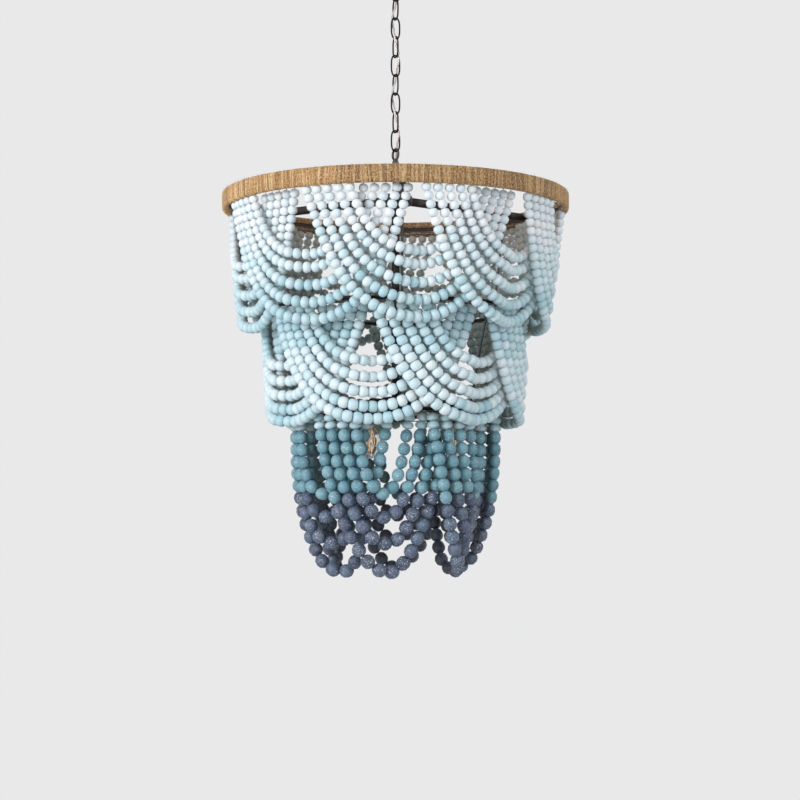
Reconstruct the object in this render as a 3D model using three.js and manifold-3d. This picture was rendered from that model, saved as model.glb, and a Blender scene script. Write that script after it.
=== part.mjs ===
import * as THREE from 'three';
import { mergeVertices } from 'three/addons/utils/BufferGeometryUtils.js';
import Module from 'manifold-3d';

// Beaded chandelier on a chain. Millimetres, +Z up, the ceiling plane at z 0.
// Bearings run from the front (-Y), positive towards +X.

const wasm = await Module();
wasm.setup();

const gap = 0.3;
const canopyDiameter = 127;
const canopyDepth = 28;
const linkWire = 2.7;
const linkWidth = 18.5;
const linkPitch = 31;
const linkCount = 9;
const chainTurn = 31;
const cordDiameter = 3.4;
const stemRun = 59.15;
const hubRise = 14;
const bandDiameter = 570;
const bandHeight = 28;
const bandDepth = 10;
const shadeDepth = 603;
const shadeInset = 11.6;
const shadeRadius = bandDiameter / 2 - bandDepth - shadeInset;
const middleInset = 57.4;
const lowerStep = 52;
const lowerInset = middleInset + lowerStep;
const taper = 39;
const beadRadius = 10;
const layerSlack = 0.66;
const footSlack = 1.1;
const tieRoom = 2;
const strutWire = 4;

// Every tier lists its swags by the bearing of their middle, and each swag's strands from the
// shortest to the longest: how far left and right of the middle they are tied, and how low they hang.
// Heights are shares of the shade's depth below the middle of the band. A tier's ring lies an inset
// inside the shade's radius, and its strands draw in further by shares of the taper. Bead sizes are
// shares of the bead radius. Where two neighbours cross, a strand swings out or in by its bead and
// the slack. Between, round its lowest point, it is tucked inwards.
const tiers = [
  {
    name: 'upper',
    ringShare: (bandHeight / 2 + tieRoom) / shadeDepth,
    middles: [7.4, 46.9, 85.9, 125, 164, 203, 244, 285.8, 327.4],
    left: [21.9, 25.7, 29.5, 33.3, 37.1],
    right: [21.9, 25.7, 29.5, 33.3, 37.1],
    lowShares: [0.1841, 0.2172, 0.262, 0.3051, 0.3483],
    inset: 0,
    taperShares: [[0.0265, 0], [0.1841, 0.267], [0.3483, 0.6]],
    beadShares: [[0.0265, 0.77], [0.0995, 0.795], [0.1824, 0.86], [0.2653, 0.93], [0.3483, 0.95]],
    swaps: [6, 8, 10, 11, 12],
    sharpness: 3,
    tuckShare: 0.6,
    slack: layerSlack,
  },
  {
    name: 'middle',
    ringShare: 0.3018,
    middles: [-11, 40.4, 91.9, 143.3, 194.7, 246.1, 297.6],
    left: [28.1, 33.3, 38.5, 43.7, 48.9],
    right: [28.1, 33.3, 38.5, 43.7, 48.9],
    lowShares: [0.4527, 0.4934, 0.5323, 0.5688, 0.6003],
    inset: middleInset,
    taperShares: [[0.3018, 0], [0.4527, 0.128], [0.6003, 0.295]],
    beadShares: [[0.3018, 0.8], [0.398, 0.85], [0.4975, 0.88], [0.6003, 0.92]],
    swaps: [6, 8, 10, 11, 12],
    sharpness: 3,
    tuckShare: 0.8,
    slack: layerSlack,
  },
  {
    name: 'lower',
    ringShare: 0.5804,
    middles: [-54, -8.5, 59, 118, 178, 240],
    left: [14.6, 22.6, 30.8, 39.2],
    right: [17.4, 26.4, 35.8, 45],
    lowShares: [0.7927, 0.8541, 0.9237, 1],
    inset: lowerInset,
    taperShares: [[0.5804, 0], [0.7131, 0.05], [0.7927, 0.18], [0.8541, 0.36], [0.9237, 0.667], [1, 1]],
    beadShares: [[0.5804, 1], [0.6633, 1.02], [0.7463, 1.04], [0.8126, 1.07], [0.8624, 1.15], [1, 1.18]],
    swaps: [8, 10, 12, 14],
    sharpness: 2.3,
    tuckShare: 0,
    slack: footSlack,
  },
];
const tieWire = 2;
const laneOffset = 4;
const beadRingWire = 6;

const colours = {
  bronze: [0x2b2724, 0.5, 0.8],
  steel: [0x4a4a48, 0.55, 0.8],
  jute: [0xb48a5c, 0.95, 0],
  upper: [0xcfe0e6, 0.8, 0],
  middle: [0xb9d2dc, 0.8, 0],
  lower: [0x4f6f88, 0.8, 0],
  cord: [0xd9cfc6, 0.3, 0],
  glass: [0xf3f3ee, 0.1, 0],
  brass: [0xb08d4a, 0.35, 0.9],
  socket: [0x33241d, 0.6, 0],
};

const roundSides = 20;
const smallSides = 12;
const wireSides = 6;
const cutOverrun = 5;

const root = new THREE.Group();
root.name = 'beaded_chandelier';

function radians(degrees) {
  return THREE.MathUtils.degToRad(degrees);
}

function atBearing(radius, bearing, z) {
  const angle = radians(bearing);
  return new THREE.Vector3(radius * Math.sin(angle), -radius * Math.cos(angle), z);
}

function addPart(name, geometry, look) {
  const [color, roughness, metalness] = colours[look];
  const mesh = new THREE.Mesh(
    geometry,
    new THREE.MeshStandardMaterial({ color, roughness, metalness }),
  );
  mesh.name = name;
  root.add(mesh);
}

function solid(geometry) {
  const bare = geometry.index ? geometry.toNonIndexed() : geometry.clone();
  bare.deleteAttribute('normal');
  bare.deleteAttribute('uv');
  const merged = mergeVertices(bare, 1e-3);
  return new wasm.Manifold(
    new wasm.Mesh({
      numProp: 3,
      vertProperties: merged.attributes.position.array,
      triVerts: new Uint32Array(merged.index.array),
    }),
  );
}

function geometryOf(body) {
  const mesh = body.getMesh();
  const geometry = new THREE.BufferGeometry();
  geometry.setAttribute('position', new THREE.BufferAttribute(mesh.vertProperties, 3));
  geometry.setIndex(new THREE.BufferAttribute(mesh.triVerts, 1));
  const flat = geometry.toNonIndexed();
  flat.computeVertexNormals();
  return flat;
}

function joined(bodies) {
  return bodies.reduce((whole, body) => whole.add(body));
}

// A closed skin over a row of rings. With loop set the last ring meets the first.
function skin(rings, loop) {
  const sides = rings[0].length;
  const corners = rings.flat().flatMap((point) => point.toArray());
  const faces = [];
  const spans = loop ? rings.length : rings.length - 1;
  for (let i = 0; i < spans; i += 1) {
    const next = (i + 1) % rings.length;
    for (let k = 0; k < sides; k += 1) {
      const turn = (k + 1) % sides;
      const [a, b, c, d] = [i * sides + k, i * sides + turn, next * sides + turn, next * sides + k];
      faces.push(a, b, c, a, c, d);
    }
  }
  if (!loop) {
    const end = (rings.length - 1) * sides;
    for (let k = 1; k < sides - 1; k += 1) {
      faces.push(0, k + 1, k, end, end + k, end + k + 1);
    }
  }
  const geometry = new THREE.BufferGeometry();
  geometry.setAttribute('position', new THREE.Float32BufferAttribute(corners, 3));
  geometry.setIndex(faces);
  const flat = geometry.toNonIndexed();
  flat.computeVertexNormals();
  return flat;
}

// Round wire or bead strand along points, with one radius or a radius for each point.
function rod(points, radii, sides, sideways, loop = false) {
  const last = points.length - 1;
  const rings = points.map((point, i) => {
    const before = points[i > 0 ? i - 1 : loop ? last : 0];
    const after = points[i < last ? i + 1 : loop ? 0 : last];
    const along = after.clone().sub(before).normalize();
    const wanted = typeof sideways === 'function' ? sideways(point) : sideways;
    const across = wanted.clone().addScaledVector(along, -wanted.dot(along)).normalize();
    const third = along.clone().cross(across);
    const radius = Array.isArray(radii) ? radii[i] : radii;
    return Array.from({ length: sides }, (_, k) => {
      const angle = (k / sides) * Math.PI * 2;
      return point
        .clone()
        .addScaledVector(across, radius * Math.cos(angle))
        .addScaledVector(third, radius * Math.sin(angle));
    });
  });
  return skin(rings, loop);
}

// A turned solid on the axis through (x, y), from rows of height and radius.
function turned(rows, sides, x = 0, y = 0) {
  const points = rows.map(([height]) => new THREE.Vector3(x, y, height));
  const radii = rows.map(([, radius]) => radius);
  const rings = points.map((point, i) =>
    Array.from({ length: sides }, (_, k) => {
      const angle = (k / sides) * Math.PI * 2;
      const offset = new THREE.Vector3(Math.cos(angle), Math.sin(angle), 0);
      return point.clone().addScaledVector(offset, radii[i]);
    }),
  );
  return skin(rings, false);
}

// A hollow turned shape from a closed outline of radius and height, walked anticlockwise.
function revolved(outline, segments) {
  const closed = [...outline, outline[0]].map(([radius, height]) => new THREE.Vector2(radius, height));
  const lathe = new THREE.LatheGeometry(closed, segments);
  lathe.rotateX(Math.PI / 2);
  return lathe;
}

function ringWire(radius, wire, z, segments, sides) {
  const points = Array.from({ length: segments }, (_, i) => atBearing(radius, (360 * i) / segments, z));
  return rod(points, wire / 2, sides, new THREE.Vector3(0, 0, 1), true);
}

// Reads a table whose rows run down the shade, each a share of its depth and a value.
function fromTable(table, depthShare) {
  const below = table.findIndex(([level]) => level >= depthShare);
  if (below === 0) {
    return table[0][1];
  }
  if (below < 0) {
    return table[table.length - 1][1];
  }
  const [upperLevel, upperValue] = table[below - 1];
  const [lowerLevel, lowerValue] = table[below];
  return THREE.MathUtils.mapLinear(depthShare, upperLevel, lowerLevel, upperValue, lowerValue);
}

// Ceiling fitting: crossbar, nipple, loop with its screw collar, and the canopy held up by a nut.
const crossbarInset = 11.5;
const crossbarLength = canopyDiameter - crossbarInset * 2;
const crossbarWidth = 16;
const crossbarThick = 2.5;
const slotLength = 14;
const slotWidth = 4.6;
const slotInset = 8;
const nippleDiameter = 10;
const bore = 5;
const lockNutDiameter = 18;
const hexSides = 6;
const nutHeight = 5;
const eyeWire = 4;
const eyeRadius = 9;
const chainTop = 57.5;
const collarDiameter = 25;
const collarTop = -20;
const collarBottom = -36;
const collarChamfer = 1.2;
const neckDiameter = 8.8;
const shoulderDiameter = 16;
const shoulderHeight = 3;

function straightTurned(diameter, bottom, top, sides) {
  return solid(turned([[bottom, diameter / 2], [top, diameter / 2]], sides));
}

const nippleHole = straightTurned(nippleDiameter + gap * 2, collarBottom, cutOverrun, roundSides);
const crossbarBlank = new THREE.BoxGeometry(crossbarLength, crossbarWidth, crossbarThick);
crossbarBlank.translate(0, 0, -crossbarThick / 2);
const screwSlots = [-1, 1].map((side) => {
  const slot = new THREE.BoxGeometry(slotLength, slotWidth, crossbarThick + cutOverrun * 2);
  slot.translate(side * (crossbarLength / 2 - slotInset), 0, 0);
  return solid(slot);
});
addPart(
  'ceiling_crossbar',
  geometryOf(solid(crossbarBlank).subtract(nippleHole).subtract(joined(screwSlots))),
  'steel',
);

const eyeCentre = -chainTop - linkWire / 2 - gap - eyeWire / 2 + eyeRadius;
const nippleBody = straightTurned(nippleDiameter, collarTop + gap, 0, roundSides);
const axisBore = straightTurned(bore, eyeCentre, cutOverrun, smallSides);
addPart('nipple', geometryOf(nippleBody.subtract(axisBore)), 'steel');

const nutTop = -crossbarThick - gap;
const lockNut = straightTurned(lockNutDiameter, nutTop - nutHeight, nutTop, hexSides);
addPart('lock_nut', geometryOf(lockNut.subtract(nippleHole)), 'brass');

function eye(centre, radius, bearing) {
  const across = atBearing(1, bearing, 0);
  const points = Array.from({ length: smallSides }, (_, i) => {
    const angle = (i / smallSides) * Math.PI * 2;
    const point = across.clone().multiplyScalar(radius * Math.sin(angle));
    point.z = centre + radius * Math.cos(angle);
    return point;
  });
  const sideways = atBearing(1, bearing + 90, 0);
  return solid(rod(points, eyeWire / 2, wireSides, sideways, true));
}

// Links stand on edge by turns. The link plane contains the given bearing.
const facing = 90 + chainTurn;
const crosswise = chainTurn;
const collar = solid(
  turned(
    [
      [eyeCentre + eyeRadius - eyeWire, neckDiameter / 2],
      [collarBottom - shoulderHeight, neckDiameter / 2],
      [collarBottom - collarChamfer, shoulderDiameter / 2],
      [collarBottom, collarDiameter / 2],
      [collarTop, collarDiameter / 2],
    ],
    roundSides,
  ),
);
addPart(
  'canopy_loop',
  geometryOf(joined([eye(eyeCentre, eyeRadius, crosswise), collar]).subtract(axisBore)),
  'bronze',
);

const wall = 1.6;
const canopySegments = 24;
const canopyRadius = canopyDiameter / 2;
const holeSpare = 1;
const holeRadius = collarDiameter / 2 + holeSpare;
const canopyShares = [[0.4, 1], [0.68, 0.82], [0.88, 0.48], [1, 0]];
const wallShares = [[0, 1], [0.5, 1], [1, 0.5], [1, 0]];
const canopyOuter = canopyShares.map(([across, down]) => [canopyRadius * across, -canopyDepth * down]);
const canopyInner = canopyOuter.map(([radius, height], i) => [
  radius - wall * wallShares[i][0],
  height + wall * wallShares[i][1],
]);
addPart(
  'canopy',
  revolved(
    [
      [holeRadius, -canopyDepth],
      ...canopyOuter,
      ...canopyInner.reverse(),
      [holeRadius, -canopyDepth + wall],
    ],
    canopySegments,
  ),
  'bronze',
);
const collarNutTop = -canopyDepth - gap;
const collarNutWaist = 4;
const collarNutFlange = 6;
const collarNutRim = 2;
addPart(
  'collar_nut',
  revolved(
    [
      [collarDiameter / 2 + gap, collarNutTop - nutHeight],
      [collarDiameter / 2 + collarNutWaist, collarNutTop - nutHeight],
      [collarDiameter / 2 + collarNutFlange, collarNutTop - collarNutRim],
      [collarDiameter / 2 + collarNutFlange, collarNutTop],
      [collarDiameter / 2 + gap, collarNutTop],
    ],
    roundSides,
  ),
  'bronze',
);

// Chain.
const linkLength = linkPitch + linkWire * 2 + gap;
const bend = (linkWidth - linkWire) / 2;
const legHalf = (linkLength - linkWire) / 2 - bend;
const topLinkCentre = -chainTop - (linkLength - linkWire) / 2;

function linkPoints(centre, bearing) {
  const across = atBearing(1, bearing, 0);
  const points = [];
  const arcSteps = 6;
  for (const end of [1, -1]) {
    for (let i = 0; i <= arcSteps; i += 1) {
      const angle = (i / arcSteps) * Math.PI;
      const point = across.clone().multiplyScalar(end * bend * Math.cos(angle));
      point.z = centre + end * (legHalf + bend * Math.sin(angle));
      points.push(point);
    }
  }
  return points;
}

const linkCentres = Array.from({ length: linkCount }, (_, i) => topLinkCentre - i * linkPitch);
linkCentres.forEach((centre, i) => {
  const bearing = i % 2 === 0 ? facing : crosswise;
  const sideways = atBearing(1, bearing + 90, 0);
  const link = rod(linkPoints(centre, bearing), linkWire / 2, wireSides, sideways, true);
  addPart(`chain_link_${i + 1}`, link, 'bronze');
});

// Loop, stem and hub of the frame.
const stemDiameter = 10;
const stemShoulder = 5;
const stemSeat = 3;
const hubFoot = 1;
const hubRadius = 28;
const hubChamfer = 2;
const lowestWire = linkCentres[linkCount - 1] - (linkLength - linkWire) / 2;
const stemEyeCentre = lowestWire + linkWire / 2 + gap + eyeWire / 2 - eyeRadius;
const stemTop = stemEyeCentre - eyeRadius;
const hubTop = stemTop - stemRun;
const bandDrop = hubRise - hubTop;
const hubBottom = -bandDrop - hubFoot;
const stem = solid(
  turned(
    [
      [hubTop + gap, stemDiameter / 2],
      [stemTop - stemShoulder, stemDiameter / 2],
      [stemTop + stemSeat, neckDiameter / 2],
    ],
    smallSides,
  ),
);
const stemBore = straightTurned(bore, -bandDrop - shadeDepth, stemEyeCentre, smallSides);
const stemLoop = joined([eye(stemEyeCentre, eyeRadius, crosswise), stem]);
addPart('stem_loop', geometryOf(stemLoop.subtract(stemBore)), 'bronze');

// Band: a rolled steel hoop inside a jute wrap that leaves a slit open on its inner face.
const bandRadius = bandDiameter / 2;
const wrap = 3;
const innerCorner = 1;
const outerCorner = 2;
const slitSpare = 0.4;
const tongueHalf = 2.8;
const slitHalf = tongueHalf + slitSpare;
const wrapHalf = bandHeight / 2;
const wrapInner = bandRadius - bandDepth;
const hoopInner = wrapInner + wrap + gap;
const hoopOuter = bandRadius - wrap - gap;
const hoopHalf = wrapHalf - wrap - gap;
const bandSegments = 32;
const flatShare = Math.cos(Math.PI / bandSegments);

function bandOutline(points) {
  return points.map(([radius, height]) => [radius, height - bandDrop]);
}

addPart(
  'band_hoop',
  revolved(
    bandOutline([
      [hoopInner, -hoopHalf],
      [hoopOuter, -hoopHalf],
      [hoopOuter, hoopHalf],
      [hoopInner, hoopHalf],
    ]),
    bandSegments,
  ),
  'steel',
);
addPart(
  'jute_wrap',
  revolved(
    bandOutline([
      [wrapInner, -wrapHalf + innerCorner],
      [wrapInner + innerCorner, -wrapHalf],
      [bandRadius - outerCorner, -wrapHalf],
      [bandRadius, -wrapHalf + outerCorner],
      [bandRadius, wrapHalf - outerCorner],
      [bandRadius - outerCorner, wrapHalf],
      [wrapInner + innerCorner, wrapHalf],
      [wrapInner, wrapHalf - innerCorner],
      [wrapInner, slitHalf],
      [wrapInner + wrap, slitHalf],
      [wrapInner + wrap, hoopHalf + gap],
      [bandRadius - wrap, hoopHalf + gap],
      [bandRadius - wrap, -hoopHalf - gap],
      [wrapInner + wrap, -hoopHalf - gap],
      [wrapInner + wrap, -slitHalf],
      [wrapInner, -slitHalf],
    ]),
    bandSegments,
  ),
  'jute',
);

const armBearings = [3, 123, 243];
const armHalf = 6;
const armDrop = 6;
const armSink = 4;
const armReach = 29;
const armStart = hubRadius - armSink;
const armEnd = bandRadius - armReach;
const armRise = 7;
const arms = armBearings.map((bearing) => {
  const sideways = atBearing(1, bearing + 90, 0);
  const square = (radius, z, halfWide, halfHigh) => {
    const centre = atBearing(radius, bearing, z - bandDrop);
    return [[-1, -1], [1, -1], [1, 1], [-1, 1]].map(([u, v]) =>
      centre.clone().addScaledVector(sideways, u * halfWide).add(new THREE.Vector3(0, 0, v * halfHigh)),
    );
  };
  return solid(
    skin(
      [
        square(armStart, armRise, armHalf, armHalf),
        square(armEnd, armRise - armDrop, armHalf, armHalf),
        square(armEnd + armHalf, 0, armHalf, tongueHalf),
        square(hoopInner * flatShare - gap, 0, armHalf, tongueHalf),
      ],
      false,
    ),
  );
});
const hubRows = [[hubBottom, hubRadius], [hubTop - hubChamfer, hubRadius], [hubTop, hubRadius - hubChamfer]];
const hub = solid(turned(hubRows, roundSides));
addPart('frame_spider', geometryOf(joined([hub, ...arms]).subtract(stemBore)), 'bronze');

// Bead rings of the two lower tiers, and the struts that carry them.
const [upper, middle, lower] = tiers;

function ringRadius(tier) {
  return shadeRadius - tier.inset;
}

function ringDrop(tier) {
  return -tier.ringShare * shadeDepth;
}

const ringSegments = 30;
for (const tier of [middle, lower]) {
  const height = ringDrop(tier) + beadRingWire / 2 + tieWire + gap * 2 - bandDrop;
  const ring = ringWire(ringRadius(tier), beadRingWire, height, ringSegments, wireSides);
  addPart(`${tier.name}_bead_ring`, ring, 'bronze');
}

// The struts' slanted tops seat under the arms. They run down inside the rings, and step in under
// the middle one to pass behind its beads.
const strutTopShare = 0.28;
const strutLean = 0.4;
const strutLead = 30;
const strutBow = 1.5;
const strutHold = 10;
const strutStep = 23;
const strutStepTop = 1;
const strutStepFoot = 7;
const strutStepLean = 2;
const strutFootLead = 14;
const strutFoot = 4;
const strutTopRadius = THREE.MathUtils.lerp(ringRadius(middle), ringRadius(upper), strutTopShare);
const strutAlongShare = (strutTopRadius - armStart) / (armEnd - armStart);
const armUnder = armRise - armDrop * strutAlongShare - armHalf;
armBearings.forEach((bearing, i) => {
  const clear = (beadRingWire + strutWire) / 2 + gap;
  const stepRadius = ringRadius(middle) - strutStep;
  const points = [
    [strutTopRadius, armUnder - gap - strutLean],
    [ringRadius(middle) - clear + strutBow, ringDrop(middle) + strutLead],
    [ringRadius(middle) - clear, ringDrop(middle) + strutHold],
    [stepRadius, ringDrop(middle) + strutStepTop],
    [stepRadius - strutStepLean, ringDrop(middle) - strutStepFoot],
    [ringRadius(lower) - clear, ringDrop(lower) + strutFootLead],
    [ringRadius(lower) - clear, ringDrop(lower) + strutFoot],
  ].map(([radius, z]) => atBearing(radius, bearing, z - bandDrop));
  const sideways = atBearing(1, bearing + 90, 0);
  addPart(`frame_strut_${i + 1}`, rod(points, strutWire / 2, wireSides, sideways), 'bronze');
});

// Lamp cluster: column, junction cup with three arms, sockets and bulbs.
const columnDiameter = 13;
const cupTop = -318;
const cupHeight = 28;
const cupBottom = cupTop - cupHeight;
const cupRadius = 26;
const cupFootInset = 8;
const cupFootRise = 6;
const cupShoulder = 3;
const cupShoulderInset = 6;
const cupBoreDepth = 18;
const lampInset = 60;
const lampCircle = ringRadius(lower) - lampInset;
const lampBearings = [-25, 95, 215];
const lampArmDrop = 9;
const lampArmHeight = cupTop - lampArmDrop;
const lampArmDiameter = 7;
const lampArmSink = 5;
const elbow = 10;
const elbowShares = [[1, 0], [0.25, 0.1], [0, 0.34]];
const finialHeight = 14;
const finialRadius = 7;
const finialShares = [
  [1, 0.23],
  [0.82, 0.57],
  [0.57, 0.74],
  [0.32, 0.57],
  [0.21, 0.34],
  [0.1, 1],
  [0, 1],
];
const socketDrop = 7;
const socketLength = 32;
const socketTop = lampArmHeight - socketDrop;
const socketBottom = socketTop - socketLength;
const socketRadius = 12;
const socketRim = 3;
const socketLip = 1;
const socketShoulder = 4;
const baseRadius = 6;
const baseDepth = 20;
const baseTip = 3;
const wellSpare = 1.5;
const bulbLength = 56;
const bulbRadius = 17.2;
const bulbSides = 10;
const glassShares = [
  [1, 0.12],
  [0.95, 0.35],
  [0.84, 0.64],
  [0.68, 0.9],
  [0.5, 1],
  [0.32, 0.91],
  [0.16, 0.64],
  [0.055, 0.44],
  [0, 0.38],
];

function rowsBelow(top, length, radius, shares) {
  return shares.map(([down, across]) => [top - length * down, radius * across]);
}

// Turned about the axis, or about a place beside it, from rows of height from the middle of the band.
function turnedBelowBand(rows, sides, place = new THREE.Vector3()) {
  const lowered = rows.map(([height, radius]) => [height - bandDrop, radius]);
  return turned(lowered, sides, place.x, place.y);
}

const column = straightTurned(columnDiameter, cupTop - bandDrop + gap, hubBottom - gap, smallSides);
addPart('lamp_column', geometryOf(column.subtract(stemBore)), 'bronze');

const cup = solid(
  turnedBelowBand(
    [
      [cupBottom, cupRadius - cupFootInset],
      [cupBottom + cupFootRise, cupRadius],
      [cupTop - cupShoulder, cupRadius],
      [cupTop, cupRadius - cupShoulderInset],
    ],
    roundSides,
  ),
);
const cupBoreFoot = cupTop - cupBoreDepth - bandDrop;
const cupBore = straightTurned(bore * 2, cupBoreFoot, cupTop + cutOverrun - bandDrop, smallSides);
const lampArms = lampBearings.map((bearing) => {
  const points = [
    [cupRadius - lampArmSink, lampArmHeight],
    ...elbowShares.map(([inward, down]) => [lampCircle - elbow * inward, lampArmHeight - elbow * down]),
    [lampCircle, socketTop + gap],
  ].map(([radius, z]) => atBearing(radius, bearing, z - bandDrop));
  return solid(rod(points, lampArmDiameter / 2, wireSides, atBearing(1, bearing + 90, 0)));
});
addPart('lamp_cluster', geometryOf(joined([cup, ...lampArms]).subtract(cupBore)), 'bronze');

const finialTop = cupBottom - gap;
const finialRows = rowsBelow(finialTop, finialHeight, finialRadius, finialShares);
addPart('cluster_finial', turnedBelowBand(finialRows, smallSides), 'bronze');

lampBearings.forEach((bearing, i) => {
  const place = atBearing(lampCircle, bearing, 0);
  const shellRows = [
    [socketBottom, socketRadius - socketLip],
    [socketBottom + socketRim, socketRadius],
    [socketTop - socketRim, socketRadius],
    [socketTop, socketRadius - socketShoulder],
  ];
  const wellRows = [
    [socketBottom - cutOverrun, baseRadius + gap * 2],
    [socketBottom + baseDepth + wellSpare, baseRadius + gap * 2],
  ];
  const shell = solid(turnedBelowBand(shellRows, smallSides, place));
  const well = solid(turnedBelowBand(wellRows, smallSides, place));
  addPart(`socket_${i + 1}`, geometryOf(shell.subtract(well)), 'socket');
  const baseRows = [
    [socketBottom, baseRadius],
    [socketBottom + baseDepth - baseTip, baseRadius],
    [socketBottom + baseDepth, baseTip],
  ];
  addPart(`bulb_base_${i + 1}`, turnedBelowBand(baseRows, bulbSides, place), 'brass');
  const glassTop = socketBottom - gap;
  const glassRows = rowsBelow(glassTop, bulbLength, bulbRadius, glassShares);
  addPart(`bulb_glass_${i + 1}`, turnedBelowBand(glassRows, bulbSides, place), 'glass');
});

// Lamp cord: up the nipple's bore, woven through every link, down the stem and column to the cup.
const weave = 4.1;
const crossingHalf = 5;
const straight = linkPitch / 2 - crossingHalf;
const cordPoints = [[0, 0, -1], [0, 0, eyeCentre + eyeRadius - eyeWire + 1]];
const widthwise = atBearing(1, facing, 0);
const depthwise = atBearing(1, crosswise, 0);
let [signWide, signDeep] = [1, 1];
linkCentres.forEach((centre, i) => {
  const place = (z) =>
    widthwise
      .clone()
      .multiplyScalar(signWide * weave)
      .addScaledVector(depthwise, signDeep * weave)
      .setZ(z)
      .toArray();
  if (i === 0) {
    cordPoints.push(place(eyeCentre - 2));
  }
  cordPoints.push(place(centre + straight));
  if (i % 2 === 0) {
    signDeep = -signDeep;
  } else {
    signWide = -signWide;
  }
  cordPoints.push(place(centre - straight));
  if (i === linkCount - 1) {
    cordPoints.push(place(stemEyeCentre + 2));
  }
});
cordPoints.push([0, 0, stemEyeCentre - eyeRadius + 2]);
cordPoints.push([0, 0, cupTop - 12 - bandDrop]);
const cordSides = 8;
const cordRoute = cordPoints.map((point) => new THREE.Vector3(...point));
addPart('lamp_cord', rod(cordRoute, cordDiameter / 2, cordSides, widthwise), 'cord');

// Bead strands. Each strand sags between its two ties, over its left neighbours' strands and
// under its right neighbours', and trades the outer layer for the inner one round its lowest point.
function strandPoint(tier, middleBearing, row, share) {
  const from = middleBearing - tier.left[row];
  const span = tier.left[row] + tier.right[row];
  const bearing = from + span * share;
  const deep = Math.cosh(tier.sharpness);
  const sag = (deep - Math.cosh(tier.sharpness * (1 - 2 * share))) / (deep - 1);
  const depthShare = THREE.MathUtils.lerp(tier.ringShare, tier.lowShares[row], sag);
  const bead = fromTable(tier.beadShares, depthShare) * beadRadius;
  const side = THREE.MathUtils.clamp((middleBearing - bearing) / tier.swaps[row], -1, 1);
  const swing = Math.sin((side * Math.PI) / 2);
  const outward = swing * (bead + tier.slack);
  const inward = (1 - swing * swing) * tier.tuckShare * beadRadius;
  const radius = ringRadius(tier) - fromTable(tier.taperShares, depthShare) * taper + outward - inward;
  return { place: atBearing(radius, bearing, -depthShare * shadeDepth - bandDrop), bead };
}

const strandSteps = { upper: 8, middle: 8, lower: 10 };
const strandSides = 4;

function strandShares(steps, sharpness) {
  const arcShare = 0.55;
  return Array.from({ length: steps + 1 }, (_, i) => {
    const run = 1 - (2 * i) / steps;
    const even = Math.asinh(run * Math.sinh(sharpness)) / sharpness;
    const steepest = Math.atan(Math.sinh(sharpness));
    const curved = Math.asinh(Math.tan(run * steepest)) / sharpness;
    return 0.5 - (even * arcShare + curved * (1 - arcShare)) / 2;
  });
}

function strand(tier, middleBearing, row) {
  const shares = strandShares(strandSteps[tier.name], tier.sharpness);
  const spots = shares.map((share) => strandPoint(tier, middleBearing, row, share));
  const points = spots.map(({ place }) => place);
  const radii = spots.map(({ bead }) => bead);
  const outward = (point) => new THREE.Vector3(point.x, point.y, 0).normalize();
  return solid(rod(points, radii, strandSides, outward));
}

// Tie wire: one for each swag, just under the ring, from its left ties to its right ties.
// It keeps outside the ties that hang further in and inside those that hang further out.
function tieWireOf(tier, k) {
  const count = tier.middles.length;
  const wrapTurn = 360;
  const here = tier.middles[k];
  const before = tier.middles[(k + count - 1) % count] - (k === 0 ? wrapTurn : 0);
  const after = tier.middles[(k + 1) % count] + (k === count - 1 ? wrapTurn : 0);
  const widest = tier.left.length - 1;
  const tieClearance = 2.6;
  const swapMost = 1.2;
  const hookRadius = wrapInner * flatShare - gap - tieWire / 2;
  const hookTurn = 1.7;
  const hookLead = 1.5;
  const hookRise = 7;
  const hookLift = 5;
  const from = Math.max(here - tier.left[0] + tieClearance, before + tier.right[widest] + tieClearance);
  const to = Math.min(here + tier.right[0] - tieClearance, after - tier.left[widest] - tieClearance);
  const swapAt = (from + to) / 2;
  const swapHalf = Math.min(swapMost, Math.abs(to - from) / 2);
  const outerLane = ringRadius(tier) + laneOffset;
  const innerLane = ringRadius(tier) - (tier === upper ? laneOffset : 0);
  const sunk = ringDrop(tier) - tieWire / 2 - gap - bandDrop;
  const proud = ringDrop(tier) + tieWire / 2 + gap - bandDrop;
  const start = here - tier.left[widest];
  const end = here + tier.right[widest];
  const points = [];
  const stretch = (a, b, radius, z, steps) => {
    for (let i = 0; i <= steps; i += 1) {
      points.push(atBearing(radius, a + ((b - a) * i) / steps, z));
    }
  };
  if (tier === upper) {
    points.push(atBearing(hookRadius, start - hookTurn, sunk + hookRise));
    points.push(atBearing(outerLane, start - hookLead, sunk + hookLift));
  }
  stretch(start, swapAt - swapHalf, outerLane, sunk, 3);
  stretch(swapAt + swapHalf, end, innerLane, proud, 3);
  if (tier === upper) {
    points.push(atBearing(innerLane, end + hookLead, sunk + hookLift));
    points.push(atBearing(hookRadius, end + hookTurn, sunk + hookRise));
  }
  return solid(rod(points, tieWire / 2, 3, new THREE.Vector3(0, 0, 1)));
}

for (const tier of tiers) {
  tier.middles.forEach((middleBearing, k) => {
    const strands = tier.lowShares.map((_, row) => strand(tier, middleBearing, row));
    const swag = joined([...strands, tieWireOf(tier, k)]);
    addPart(`${tier.name}_swag_${k + 1}`, geometryOf(swag), tier.name);
  });
}

export default root;
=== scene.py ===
import math
import random

import bmesh
import bpy
from mathutils import Matrix, Vector


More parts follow.
